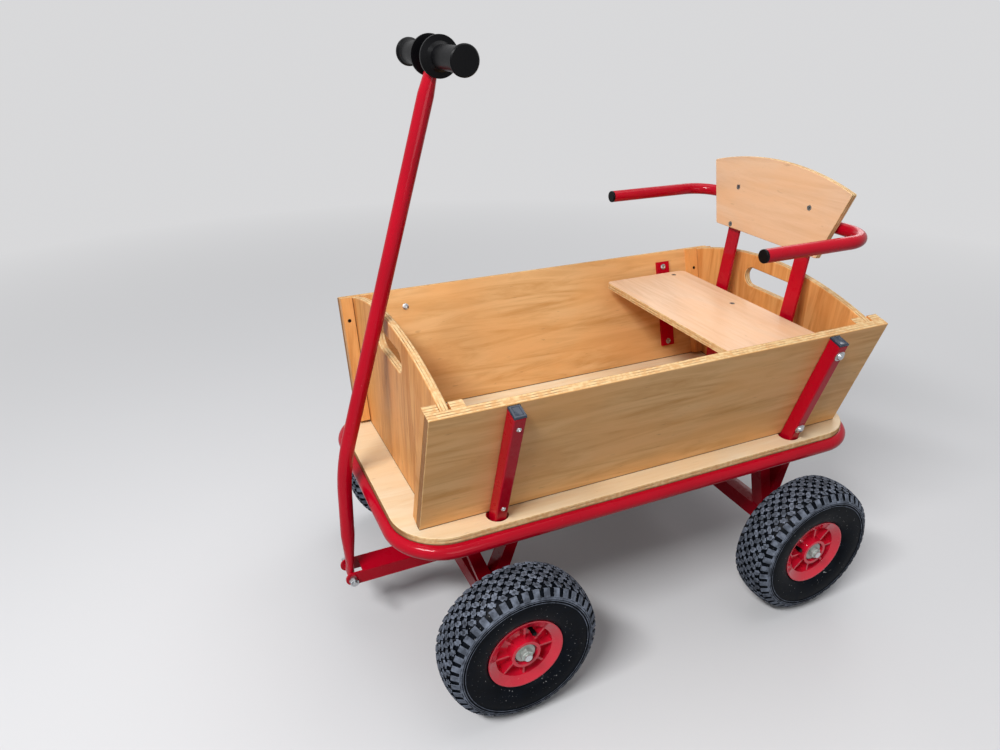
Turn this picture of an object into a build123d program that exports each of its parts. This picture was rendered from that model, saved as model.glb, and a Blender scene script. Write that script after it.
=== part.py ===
from build123d import *
import os
from math import atan2, cos, degrees, hypot, radians, sin, tan

os.makedirs("parts", exist_ok=True)

# All sizes in millimetres. X runs forward, Y to the left side, Z up, and the ground is at Z = 0.

# Whole layout
MID_X = -21.25          # middle of the deck, measured from the middle of the whole length
AXLE_SPREAD = 292.7     # each axle from the middle of the deck
WHEEL_Y = 275.4         # middle plane of each wheel
TYRE_R = 130.0
DECK_TOP = 318.0

# Chassis loop of round tube under the edge of the deck
TUBE_R = 12.5
LOOP_X = 447.0
LOOP_Y = 224.0
LOOP_BEND = 85.0
LOOP_Z = 293.5
CROSS_OFFSET = 40.0     # each square cross tube from its axle
CROSS_SIZE = 25.0

# Deck board
DECK_THICK = 12.0
STAKE_HOLE_R = 18.0
STAKE_HOLE_Y = 198.5

# Leaning side boards and the battens on their inner faces
SIDE_HALF = 415.0
SIDE_FOOT_Y = 187.0     # outer face of a side board at the top of the deck
SIDE_RISE = 221.0
SIDE_LEAN = 65.0        # how far the outer face leans out over its rise
SIDE_THICK = 15.0
SIDE_CORNER = 2.0
BATTEN_WIDE = 21.0
BATTEN_THICK = 15.0
BATTEN_X = (404.5, 366.5)
WOOD_EDGE = 1.5         # rounding of sawn edges

# End boards
END_THICK = 14.0
END_MID_X = 385.5
END_SIDE_TOP = 541.0
END_PEAK = 582.0
END_CLEAR = 0.4
HAND_SLOT_LONG = 130.0
HAND_SLOT_HIGH = 36.0
HAND_SLOT_Z = 534.0
END_ROUND = 4.0
SLOT_ROUND = 3.0

# Stakes, their sockets and caps
STAKE_X = 292.5
STAKE_WIDE = 20.0
STAKE_DEEP = 25.0
STAKE_LOW = -32.0       # along the slope, from the top of the deck
STAKE_HIGH = 224.0
STAKE_ROUND = 3.0
CAP_THICK = 5.0
SOCKET_WALL = 3.5
SOCKET_FLOOR = 2.5
SOCKET_TOP = -15.5
SOCKET_WELD = 9.0       # how far a socket reaches past its stake towards the chassis loop
COLLAR_R = 17.7         # round collar of a socket, inside the deck's hole
COLLAR_WALL = 1.6
COLLAR_LOW = 298.0
COLLAR_HIGH = 316.0

# Seat and its metalwork
SEAT_TOP = 506.0
SEAT_THICK = 12.0
SEAT_FRONT = -139.0
SEAT_REAR = -334.0
SEAT_HALF = 207.0
SEAT_CORNER = 12.0
SEAT_TUBE_X = -296.0
SEAT_TUBE_SIZE = 25.0
STRIP_WIDE = 31.0
STRIP_THICK = 5.0
STRIP_LOW = 25.0
STRIP_HIGH = 209.0

# Back bars, backrest and armrest tube
BAR_Y = 92.0
BAR_WIDE = 30.0
BAR_THICK = 5.0
BAR_X = -344.0          # front face where the bars are upright
BAR_BEND_Z = 500.0
BAR_TOP_Z = 748.0
BACK_LEAN = 0.1         # run of the upper bars over their rise
BAR_FOOT = 34.0
TAB_Z = 482.0
BACKREST_THICK = 12.0
BACKREST_LOW_Z = 627.0
BACKREST_LOW_Y = 133.0
BACKREST_SIDE_Z = 745.5
BACKREST_SIDE_Y = 173.0
BACKREST_PEAK_Z = 771.0
BACKREST_CORNER = 3.0
ARM_R = 11.0
ARM_Y = 217.0
ARM_Z = 681.0
ARM_FRONT = -146.0
ARM_REAR = -378.2
ARM_BEND = 55.0
ARM_CAP_LONG = 4.0
ARM_CAP_ROUND = 1.5

# Axles and the brackets that carry them
BEAM_SIZE = 30.0
BEAM_HALF = 233.0
PIN_R = 6.0
PIN_END = 318.0
BRACKET_Y = 170.0
BRACKET_DEEP = 28.0
BRACKET_TOP = 45.0
BRACKET_FOOT = 13.0
BRACKET_LEG = 21.0
BRACKET_CROTCH = 36.0

# Turntable and steering frame
PLATE_R = 85.0
PLATE_THICK = 5.5
PLATE_GAP = 1.0
KINGPIN_R = 8.0
KINGPIN_BORE = 8.06
KINGPIN_HEAD = 14.0
STEER_BEAM_X = 32.5
STEER_BEAM_HALF = 184.0
STEER_BEAM_SIZE = 25.0

# Drawbar
DRAW_HALF = 22.0
DRAW_WALL = 3.0
DRAW_TOP = 130.0
DRAW_DEEP = 25.0
DRAW_WEB_END = 472.0
PIVOT_X = 490.0
PIVOT_Z = 118.0
BOLT_R = 5.0
BOLT_BORE = 5.06
BOLT_HEAD = 8.5
BOLT_HALF = 28.5

# Handle, as (x, z) of its centre line: pivot, bend and crossbar
HANDLE_R = 12.0
HANDLE_LINE = [
    (PIVOT_X, PIVOT_Z),
    (483.1, 336.7),
    (300.0, 960.0),
]
HANDLE_BEND = 400.0
PRESSED_DEEP = 13.5     # the tube's ends are pressed flat from front and back
PRESSED_WIDE = 30.0
PRESSED_LOW = (22.0, 80.0)      # from the pivot: end of the flat, start of the round tube
PRESSED_HIGH = (4.0, 52.0)      # from the crossbar: the same
CROSSBAR_R = 11.0
CROSSBAR_HALF = 112.0
GRIP_LINE = [           # (distance from the middle, radius) of one grip
    (18.0, 28.0),
    (22.0, 28.0),
    (24.5, 20.0),
    (30.0, 16.0),
    (70.0, 16.5),
    (100.0, 16.0),
    (106.0, 17.5),
    (109.5, 20.2),
    (112.5, 20.2),
    (114.0, 18.7),
]

# Wheels, as (outboard, radius) points of their half sections
TYRE_LINE = [
    (24.6, 50.8),
    (31.0, 63.9),
    (37.0, 71.0),
    (42.5, 94.0),
    (40.0, 112.0),
    (30.0, 125.0),
    (0.0, TYRE_R),
]
TYRE_FACETS = 44
RIM_LINE = [
    (26.0, 18.5),
    (26.0, 19.5),
    (34.0, 19.5),
    (34.0, 24.5),
    (17.0, 26.0),
    (11.0, 47.0),
    (27.0, 48.0),
    (34.0, 61.5),
    (34.0, 63.5),
    (31.2, 63.5),
    (24.6, 50.8),
    (-24.6, 50.8),
    (-31.2, 63.5),
    (-34.0, 63.5),
    (-34.0, 61.5),
    (-27.0, 48.0),
    (1.0, 47.0),
    (5.0, 26.0),
    (-34.0, 24.5),
    (-34.0, 18.5),
]
RIB_COUNT = 8
RIB_WIDE = 3.5
RIB_IN_R = 22.0
RIB_OUT_R = 48.5
RIB_FACE = 26.0
RIB_BACK = 6.0
HUB_R = 18.5
HUB_IN = -35.5
HUB_OUT = 28.0
HUB_BORE = 6.06

LEAN = atan2(SIDE_LEAN, SIDE_RISE)
SLOPE = hypot(SIDE_LEAN, SIDE_RISE)
FRONT_X = MID_X + AXLE_SPREAD
REAR_X = MID_X - AXLE_SPREAD
CROSS_Z = LOOP_Z
PLATE_TOP = CROSS_Z - CROSS_SIZE / 2
STEER_TOP = PLATE_TOP - 2 * PLATE_THICK - PLATE_GAP


def leaning(side):
    """Plane on the outer face of a side board: local Y up the slope, normal outward."""
    foot = (MID_X, side * SIDE_FOOT_Y, DECK_TOP)
    return Plane(origin=foot, x_dir=(-side, 0, 0), z_dir=(0, side * cos(LEAN), -sin(LEAN)))


def on_slope(side, x, low, high, wide, inner, outer):
    """A bar along the slope of one side board, from inner to outer along its normal."""
    with BuildSketch(leaning(side).offset(inner)) as outline:
        with Locations((-side * x, (low + high) / 2)):
            Rectangle(wide, high - low)
    extrude(outline.sketch, amount=outer - inner)


def inner_y(z):
    """Inner face of the left side board at a height."""
    return SIDE_FOOT_Y + (z - DECK_TOP) * tan(LEAN) - SIDE_THICK / cos(LEAN)


def finish(piece, name):
    piece.part.label = name
    export_step(piece.part, "parts/" + name + ".step")


# Chassis loop
with BuildPart() as frame_side_rails:
    for side in (-1, 1):
        with BuildSketch(Plane.YZ.offset(MID_X - LOOP_X + LOOP_BEND)):
            with Locations((side * LOOP_Y, LOOP_Z)):
                Circle(TUBE_R)
        extrude(amount=2 * (LOOP_X - LOOP_BEND))
finish(frame_side_rails, "frame_side_rails")

for end, name in ((1, "frame_front_bow"), (-1, "frame_rear_bow")):
    start_x = MID_X + end * (LOOP_X - LOOP_BEND)
    across_x = MID_X + end * LOOP_X
    bend = LOOP_BEND * (1 - cos(radians(45)))
    corner_x = across_x - end * bend
    corner_y = LOOP_Y - bend
    straight_y = LOOP_Y - LOOP_BEND
    with BuildPart() as bow:
        with BuildLine(Plane.XY.offset(LOOP_Z)) as path:
            ThreePointArc((start_x, LOOP_Y), (corner_x, corner_y), (across_x, straight_y))
            Line((across_x, straight_y), (across_x, -straight_y))
            ThreePointArc((across_x, -straight_y), (corner_x, -corner_y), (start_x, -LOOP_Y))
        with BuildSketch(Plane(origin=(start_x, LOOP_Y, LOOP_Z), x_dir=(0, 1, 0), z_dir=(1, 0, 0))):
            Circle(TUBE_R)
        sweep(path=path.wires()[0])
    finish(bow, name)

with BuildPart() as cross_tubes:
    for axle_x in (FRONT_X, REAR_X):
        for offset in (-CROSS_OFFSET, CROSS_OFFSET):
            with Locations((axle_x + offset, 0, CROSS_Z)):
                Box(CROSS_SIZE, 2 * LOOP_Y, CROSS_SIZE)
    for side in (-1, 1):
        with Locations((MID_X, side * LOOP_Y, LOOP_Z)):
            Cylinder(TUBE_R, 2 * LOOP_X, rotation=(0, 90, 0), mode=Mode.SUBTRACT)
    outside = 4 * LOOP_Y
    for side in (-1, 1):
        with Locations((MID_X, side * (LOOP_Y + outside / 2), LOOP_Z)):
            Box(4 * LOOP_X, outside, outside, mode=Mode.SUBTRACT)
finish(cross_tubes, "cross_tubes")

# Deck
with BuildPart() as deck_board:
    with BuildSketch(Plane.XY.offset(DECK_TOP - DECK_THICK)):
        with Locations((MID_X, 0)):
            RectangleRounded(2 * LOOP_X, 2 * LOOP_Y, LOOP_BEND)
        for x in (-STAKE_X, STAKE_X):
            for y in (-STAKE_HOLE_Y, STAKE_HOLE_Y):
                with Locations((MID_X + x, y)):
                    Circle(STAKE_HOLE_R, mode=Mode.SUBTRACT)
    extrude(amount=DECK_THICK)
    fillet(deck_board.faces().sort_by(Axis.Z)[-1].outer_wire().edges(), WOOD_EDGE)
finish(deck_board, "deck_board")

# Sockets, stakes and caps
with BuildPart() as stake_sockets:
    for side in (-1, 1):
        for x in (-STAKE_X, STAKE_X):
            wide = STAKE_WIDE + 2 * SOCKET_WALL
            low = STAKE_LOW - SOCKET_FLOOR
            on_slope(side, x, low, SOCKET_TOP, wide, -SOCKET_WALL, STAKE_DEEP + SOCKET_WELD)
            with BuildSketch(Plane.XY.offset(COLLAR_LOW)):
                with Locations((MID_X + x, side * STAKE_HOLE_Y)):
                    Circle(COLLAR_R)
                    Circle(COLLAR_R - COLLAR_WALL, mode=Mode.SUBTRACT)
            extrude(amount=COLLAR_HIGH - COLLAR_LOW)
    for side in (-1, 1):
        with Locations((MID_X, side * LOOP_Y, LOOP_Z)):
            Cylinder(TUBE_R, 2 * LOOP_X, rotation=(0, 90, 0), mode=Mode.SUBTRACT)
        for x in (-STAKE_X, STAKE_X):
            with BuildSketch(leaning(side)):
                with Locations((-side * x, (STAKE_LOW + STAKE_HIGH) / 2)):
                    Rectangle(STAKE_WIDE, STAKE_HIGH - STAKE_LOW)
            extrude(amount=STAKE_DEEP, mode=Mode.SUBTRACT)
finish(stake_sockets, "stake_sockets")

with BuildPart() as stakes:
    for side in (-1, 1):
        for x in (-STAKE_X, STAKE_X):
            on_slope(side, x, STAKE_LOW, STAKE_HIGH, STAKE_WIDE, 0, STAKE_DEEP)
    slope_edges = [e for e in stakes.edges() if e.length > SLOPE]
    fillet(slope_edges, STAKE_ROUND)
finish(stakes, "stakes")

with BuildPart() as stake_caps:
    for side in (-1, 1):
        for x in (-STAKE_X, STAKE_X):
            high = STAKE_HIGH + CAP_THICK
            on_slope(side, x, STAKE_HIGH, high, STAKE_WIDE, 0.2, STAKE_DEEP)
    cap_tops = [f for f in stake_caps.faces() if f.normal_at().Z > 0.9]
    fillet([e for f in cap_tops for e in f.edges()], 0.5 * CAP_THICK)
finish(stake_caps, "stake_caps")

# Box: side boards, battens and end boards
for side, name in ((1, "side_board_left"), (-1, "side_board_right")):
    with BuildPart() as side_board:
        with BuildSketch(leaning(side).offset(-SIDE_THICK)):
            with Locations((0, SLOPE / 2 - SIDE_CORNER)):
                RectangleRounded(2 * SIDE_HALF, SLOPE + 2 * SIDE_CORNER, SIDE_CORNER)
        extrude(amount=SIDE_THICK)
        split(bisect_by=Plane.XY.offset(DECK_TOP), keep=Keep.TOP)
        rounded = [e for e in side_board.edges() if e.center().Z > DECK_TOP + WOOD_EDGE]
        fillet([e for e in rounded if e.length > 2 * SIDE_THICK], WOOD_EDGE)
    finish(side_board, name)

with BuildPart() as corner_battens:
    for side in (-1, 1):
        for end in (-1, 1):
            for x in BATTEN_X:
                inner = -SIDE_THICK - BATTEN_THICK
                on_slope(side, end * x, -SIDE_CORNER, SLOPE - WOOD_EDGE, BATTEN_WIDE, inner, -SIDE_THICK)
    split(bisect_by=Plane.XY.offset(DECK_TOP), keep=Keep.TOP)
finish(corner_battens, "corner_battens")

for end, name in ((1, "end_board_front"), (-1, "end_board_rear")):
    foot_y = inner_y(DECK_TOP) - END_CLEAR
    side_y = inner_y(END_SIDE_TOP) - END_CLEAR
    with BuildPart() as end_board:
        with BuildSketch(Plane.YZ.offset(MID_X + end * END_MID_X - END_THICK / 2)):
            with BuildLine():
                Polyline((-side_y, END_SIDE_TOP), (-foot_y, DECK_TOP), (foot_y, DECK_TOP), (side_y, END_SIDE_TOP))
                ThreePointArc((side_y, END_SIDE_TOP), (0, END_PEAK), (-side_y, END_SIDE_TOP))
            make_face()
            with Locations((0, HAND_SLOT_Z)):
                SlotOverall(HAND_SLOT_LONG, HAND_SLOT_HIGH, mode=Mode.SUBTRACT)
        extrude(amount=END_THICK)
        along = [e for e in end_board.edges() if abs(e.tangent_at(0.5).X) < 0.5]
        above = [e for e in along if e.center().Z > END_SIDE_TOP and e.length > SIDE_FOOT_Y]
        slot = [e for e in along if abs(e.center().Y) < HAND_SLOT_LONG / 2 and e.length < SIDE_FOOT_Y]
        fillet(above, END_ROUND)
        fillet(slot, SLOT_ROUND)
    finish(end_board, name)

# Seat and its supports
with BuildPart() as seat_board:
    with BuildSketch(Plane.XY.offset(SEAT_TOP - SEAT_THICK)):
        with Locations((MID_X + (SEAT_FRONT + SEAT_REAR) / 2, 0)):
            RectangleRounded(SEAT_FRONT - SEAT_REAR, 2 * SEAT_HALF, SEAT_CORNER)
    extrude(amount=SEAT_THICK)
    fillet(seat_board.faces().sort_by(Axis.Z)[-1].edges(), WOOD_EDGE)
finish(seat_board, "seat_board")

with BuildPart() as side_strips:
    for side in (-1, 1):
        inner = -SIDE_THICK - STRIP_THICK
        on_slope(side, -STAKE_X, STRIP_LOW, STRIP_HIGH, STRIP_WIDE, inner, -SIDE_THICK)
finish(side_strips, "side_strips")

with BuildPart() as seat_tube:
    with Locations((MID_X + SEAT_TUBE_X, 0, SEAT_TOP - SEAT_THICK - SEAT_TUBE_SIZE / 2)):
        Box(SEAT_TUBE_SIZE, 2 * SIDE_FOOT_Y + 2 * SIDE_LEAN, SEAT_TUBE_SIZE)
    for side in (-1, 1):
        face = leaning(side).offset(-SIDE_THICK - STRIP_THICK)
        split(bisect_by=face, keep=Keep.BOTTOM)
finish(seat_tube, "seat_tube")

with BuildPart() as back_bars:
    top_x = BAR_X - BACK_LEAN * (BAR_TOP_Z - BAR_BEND_Z)
    tab_x = SEAT_TUBE_X - SEAT_TUBE_SIZE / 2
    for y in (-BAR_Y, BAR_Y):
        with BuildSketch(Plane.XZ.offset(-y - BAR_WIDE / 2)):
            with BuildLine():
                Polyline(
                    (MID_X + BAR_X, DECK_TOP),
                    (MID_X + BAR_X, BAR_BEND_Z),
                    (MID_X + top_x, BAR_TOP_Z),
                    (MID_X + top_x - BAR_THICK, BAR_TOP_Z),
                    (MID_X + BAR_X - BAR_THICK, BAR_BEND_Z),
                    (MID_X + BAR_X - BAR_THICK, DECK_TOP + BAR_THICK),
                    (MID_X + BAR_X - BAR_FOOT, DECK_TOP + BAR_THICK),
                    (MID_X + BAR_X - BAR_FOOT, DECK_TOP),
                    close=True,
                )
            make_face()
            with Locations((MID_X + (BAR_X + tab_x) / 2, TAB_Z)):
                Rectangle(tab_x - BAR_X, BAR_THICK)
        extrude(amount=BAR_WIDE)
finish(back_bars, "back_bars")

lean_back = Plane(
    origin=(MID_X + BAR_X, 0, BAR_BEND_Z),
    x_dir=(0, 1, 0),
    z_dir=(cos(atan2(BACK_LEAN, 1)), 0, sin(atan2(BACK_LEAN, 1))),
)
back_scale = hypot(BACK_LEAN, 1)
with BuildPart() as backrest:
    low = (BACKREST_LOW_Z - BAR_BEND_Z) * back_scale
    high = (BACKREST_SIDE_Z - BAR_BEND_Z) * back_scale
    peak = (BACKREST_PEAK_Z - BAR_BEND_Z) * back_scale
    with BuildSketch(lean_back):
        with BuildLine():
            Polyline((-BACKREST_SIDE_Y, high), (-BACKREST_LOW_Y, low), (BACKREST_LOW_Y, low), (BACKREST_SIDE_Y, high))
            ThreePointArc((BACKREST_SIDE_Y, high), (0, peak), (-BACKREST_SIDE_Y, high))
        face = make_face()
        fillet(face.vertices(), BACKREST_CORNER)
    extrude(amount=BACKREST_THICK)
    fillet(backrest.faces().sort_by(Axis.X)[-1].edges(), WOOD_EDGE)
finish(backrest, "backrest")

arm_bend = ARM_BEND * (1 - cos(radians(45)))
with BuildPart() as arm_tube:
    with BuildLine(Plane.XY.offset(ARM_Z)) as path:
        front_x = MID_X + ARM_FRONT
        rear_x = MID_X + ARM_REAR
        turn_x = rear_x + ARM_BEND
        turn_y = ARM_Y - ARM_BEND
        Line((front_x, ARM_Y), (turn_x, ARM_Y))
        ThreePointArc((turn_x, ARM_Y), (rear_x + arm_bend, ARM_Y - arm_bend), (rear_x, turn_y))
        Line((rear_x, turn_y), (rear_x, -turn_y))
        ThreePointArc((rear_x, -turn_y), (rear_x + arm_bend, -ARM_Y + arm_bend), (turn_x, -ARM_Y))
        Line((turn_x, -ARM_Y), (front_x, -ARM_Y))
    with BuildSketch(Plane(origin=(front_x, ARM_Y, ARM_Z), x_dir=(0, 1, 0), z_dir=(-1, 0, 0))):
        Circle(ARM_R)
    sweep(path=path.wires()[0])
finish(arm_tube, "arm_tube")

with BuildPart() as arm_caps:
    for side in (-1, 1):
        with BuildSketch(Plane.YZ.offset(MID_X + ARM_FRONT)):
            with Locations((side * ARM_Y, ARM_Z)):
                Circle(ARM_R)
        extrude(amount=ARM_CAP_LONG)
    fillet(arm_caps.faces().sort_by(Axis.X)[-2:].edges(), ARM_CAP_ROUND)
finish(arm_caps, "arm_caps")

# Axles: a square beam with a round pin at each end
for axle_x, name in ((FRONT_X, "front_axle"), (REAR_X, "rear_axle")):
    with BuildPart() as axle:
        with Locations((axle_x, 0, TYRE_R)):
            Box(BEAM_SIZE, 2 * BEAM_HALF, BEAM_SIZE)
            Cylinder(PIN_R, 2 * PIN_END, rotation=(90, 0, 0))
    finish(axle, name)

# Brackets from each axle beam up to the tubes above it
bracket_sets = [        # (axle, height of the tubes above it, node)
    (FRONT_X, STEER_TOP - STEER_BEAM_SIZE, "front_brackets"),
    (REAR_X, PLATE_TOP, "rear_brackets"),
]
for axle_x, high, name in bracket_sets:
    low = TYRE_R + BEAM_SIZE / 2
    with BuildPart() as brackets:
        for y in (-BRACKET_Y, BRACKET_Y):
            with BuildSketch(Plane.XZ.offset(-y - BRACKET_DEEP / 2)):
                with BuildLine():
                    Polyline(
                        (axle_x - BRACKET_FOOT, low),
                        (axle_x + BRACKET_FOOT, low),
                        (axle_x + BRACKET_TOP, high),
                        (axle_x + BRACKET_TOP - BRACKET_LEG, high),
                        (axle_x, low + BRACKET_CROTCH),
                        (axle_x - BRACKET_TOP + BRACKET_LEG, high),
                        (axle_x - BRACKET_TOP, high),
                        close=True,
                    )
                make_face()
            extrude(amount=BRACKET_DEEP)
    finish(brackets, name)

# Turntable
with BuildPart() as turntable_plate:
    with BuildSketch(Plane.XY.offset(PLATE_TOP - PLATE_THICK)):
        with Locations((FRONT_X, 0)):
            Circle(PLATE_R)
            Circle(KINGPIN_BORE, mode=Mode.SUBTRACT)
    extrude(amount=PLATE_THICK)
finish(turntable_plate, "turntable_plate")

with BuildPart() as steering_plate:
    with BuildSketch(Plane.XY.offset(STEER_TOP)):
        with Locations((FRONT_X, 0)):
            Circle(PLATE_R)
    extrude(amount=PLATE_THICK)
    with BuildSketch(Plane.XY.offset(STEER_TOP)):
        with Locations((FRONT_X, 0)):
            Circle(KINGPIN_R)
    extrude(amount=PLATE_TOP + PLATE_THICK - STEER_TOP)
    with BuildSketch(Plane.XY.offset(PLATE_TOP + 0.5)):
        with Locations((FRONT_X, 0)):
            RegularPolygon(KINGPIN_HEAD, 6)
    extrude(amount=PLATE_THICK + 4)
finish(steering_plate, "steering_plate")

with BuildPart() as steering_beams:
    for offset in (-STEER_BEAM_X, STEER_BEAM_X):
        with Locations((FRONT_X + offset, 0, STEER_TOP - STEER_BEAM_SIZE / 2)):
            Box(STEER_BEAM_SIZE, 2 * STEER_BEAM_HALF, STEER_BEAM_SIZE)
finish(steering_beams, "steering_beams")

# Drawbar: a channel, open below, whose cheeks carry the handle's pivot bolt
pivot_x = MID_X + PIVOT_X
draw_rear = FRONT_X + BEAM_SIZE / 2
draw_nose = DRAW_DEEP / 2
with BuildPart() as drawbar:
    with BuildSketch(Plane.XZ.offset(-DRAW_HALF)):
        with BuildLine():
            Polyline(
                (pivot_x, DRAW_TOP),
                (draw_rear, DRAW_TOP),
                (draw_rear, DRAW_TOP - DRAW_DEEP),
                (pivot_x, DRAW_TOP - DRAW_DEEP),
            )
            ThreePointArc(
                (pivot_x, DRAW_TOP - DRAW_DEEP),
                (pivot_x + draw_nose, DRAW_TOP - draw_nose),
                (pivot_x, DRAW_TOP),
            )
        make_face()
    extrude(amount=2 * DRAW_HALF)
    inside = DRAW_DEEP - DRAW_WALL
    with Locations((MID_X + DRAW_WEB_END, 0, DRAW_TOP - DRAW_WALL - inside / 2)):
        Box(4 * PIVOT_X, 2 * (DRAW_HALF - DRAW_WALL), inside, mode=Mode.SUBTRACT)
    with Locations((MID_X + DRAW_WEB_END + DRAW_DEEP, 0, DRAW_TOP - draw_nose)):
        Box(2 * DRAW_DEEP, 2 * (DRAW_HALF - DRAW_WALL), 2 * DRAW_DEEP, mode=Mode.SUBTRACT)
    with Locations((pivot_x, 0, PIVOT_Z)):
        Cylinder(BOLT_R, 4 * DRAW_HALF, rotation=(90, 0, 0), mode=Mode.SUBTRACT)
finish(drawbar, "drawbar")

with BuildPart() as pivot_bolt:
    with BuildSketch(Plane.XZ.offset(-BOLT_HALF)):
        with Locations((pivot_x, PIVOT_Z)):
            Circle(BOLT_R)
    extrude(amount=2 * BOLT_HALF)
    for start in (-BOLT_HALF, DRAW_HALF):
        with BuildSketch(Plane.XZ.offset(start)):
            with Locations((pivot_x, PIVOT_Z)):
                RegularPolygon(BOLT_HEAD, 6)
        extrude(amount=BOLT_HALF - DRAW_HALF)
finish(pivot_bolt, "pivot_bolt")

# Handle: a round tube whose two ends are pressed flat from front and back
pivot_point, bend_point, top_point = [Vector(MID_X + x, 0, z) for x, z in HANDLE_LINE]


def across_handle(end_point, distance):
    """Plane across the handle at a distance from one end of its centre line."""
    run = (bend_point - end_point).normalized()
    return Plane(origin=end_point + run * distance, x_dir=(0, 1, 0), z_dir=run)


low_round = across_handle(pivot_point, PRESSED_LOW[1])
high_round = across_handle(top_point, PRESSED_HIGH[1])
with BuildPart() as handle_tube:
    with BuildLine() as path:
        FilletPolyline(low_round.origin, bend_point, high_round.origin, radius=HANDLE_BEND)
    with BuildSketch(low_round):
        Circle(HANDLE_R)
    sweep(path=path.wires()[0])
    for end_point, (flat_end, round_start) in ((pivot_point, PRESSED_LOW), (top_point, PRESSED_HIGH)):
        with BuildSketch(across_handle(end_point, round_start)) as round_section:
            Circle(HANDLE_R)
        with BuildSketch(across_handle(end_point, flat_end)) as flat_section:
            Ellipse(PRESSED_WIDE / 2, PRESSED_DEEP / 2)
        loft([round_section.sketch.face(), flat_section.sketch.face()])
        extrude(flat_section.sketch, amount=-flat_end)
    with Locations((pivot_x, 0, PIVOT_Z)):
        Cylinder(PRESSED_DEEP / 2, PRESSED_WIDE, rotation=(90, 0, 0))
        Cylinder(BOLT_BORE, 2 * PRESSED_WIDE, rotation=(90, 0, 0), mode=Mode.SUBTRACT)
    with Locations(top_point):
        Cylinder(CROSSBAR_R, 4 * PRESSED_WIDE, rotation=(90, 0, 0), mode=Mode.SUBTRACT)
finish(handle_tube, "handle_tube")

with BuildPart() as handle_crossbar:
    with Locations(top_point):
        Cylinder(CROSSBAR_R, 2 * CROSSBAR_HALF, rotation=(90, 0, 0))
finish(handle_crossbar, "handle_crossbar")

with BuildPart() as grips:
    axis = Axis(top_point, (0, 1, 0))
    for side in (-1, 1):
        with BuildSketch(Plane(origin=top_point, x_dir=(0, side, 0), z_dir=(side, 0, 0))):
            with BuildLine():
                Polyline(
                    (GRIP_LINE[0][0], 0),
                    *GRIP_LINE,
                    (GRIP_LINE[-1][0], 0),
                    close=True,
                )
            make_face()
        revolve(axis=axis)
    with Locations(top_point):
        Cylinder(CROSSBAR_R, 2 * CROSSBAR_HALF, rotation=(90, 0, 0), mode=Mode.SUBTRACT)
finish(grips, "grips")

# Tyre: a ring of flat facets, so that one of them rests on the ground
facet_turn = 360 / TYRE_FACETS
facet_half = TYRE_R * tan(radians(facet_turn / 2)) + 1
with BuildPart() as facet:
    with BuildSketch(Plane(origin=(0, 0, 0), x_dir=(0, 1, 0), z_dir=(1, 0, 0))):
        with BuildLine():
            Polyline(*TYRE_LINE, *[(-u, r) for u, r in reversed(TYRE_LINE[:-1])], close=True)
        make_face()
    extrude(amount=facet_half, both=True)
    for turn in (-facet_turn / 2, facet_turn / 2):
        side_plane = Plane.YZ.rotated((0, turn, 0))
        split(bisect_by=side_plane, keep=Keep.BOTTOM if turn > 0 else Keep.TOP)
with BuildPart() as tyre_ring:
    add([facet.part.rotate(Axis.Y, facet_turn * n) for n in range(TYRE_FACETS)])

# Wheels
for end, axle_x in (("front", FRONT_X), ("rear", REAR_X)):
    for side, hand in ((1, "left"), (-1, "right")):
        centre = (axle_x, side * WHEEL_Y, TYRE_R)
        section = Plane(origin=centre, x_dir=(0, side, 0), z_dir=(side, 0, 0))
        spin = Axis(centre, (0, 1, 0))
        with BuildPart() as tyre:
            with Locations(centre):
                add(tyre_ring.part)
        finish(tyre, "tyre_" + end + "_" + hand)
        with BuildPart() as rim:
            with BuildSketch(section):
                with BuildLine():
                    Polyline(*RIM_LINE, close=True)
                make_face()
            revolve(axis=spin)
            rib_mid = (RIB_IN_R + RIB_OUT_R) / 2
            with Locations(section):
                for turn in range(RIB_COUNT):
                    rib_turn = 360 / RIB_COUNT * turn
                    with Locations(Location((0, 0, 0), (rib_turn, 0, 0))):
                        with Locations(((RIB_FACE + RIB_BACK) / 2, rib_mid, 0)):
                            Box(RIB_FACE - RIB_BACK, RIB_OUT_R - RIB_IN_R, RIB_WIDE)
        finish(rim, "rim_" + end + "_" + hand)
        with BuildPart() as hub:
            with BuildSketch(section):
                with Locations(((HUB_IN + HUB_OUT) / 2, (HUB_R + HUB_BORE) / 2)):
                    Rectangle(HUB_OUT - HUB_IN, HUB_R - HUB_BORE)
            revolve(axis=spin)
        finish(hub, "hub_" + end + "_" + hand)
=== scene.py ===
from math import atan2, cos, hypot, pi, radians, sin, tau

import bmesh
import bpy
from bpy.props import FloatProperty, FloatVectorProperty, IntProperty, PointerProperty
from bpy.types import Operator, Panel, PropertyGroup
from mathutils import Matrix, Vector


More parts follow.
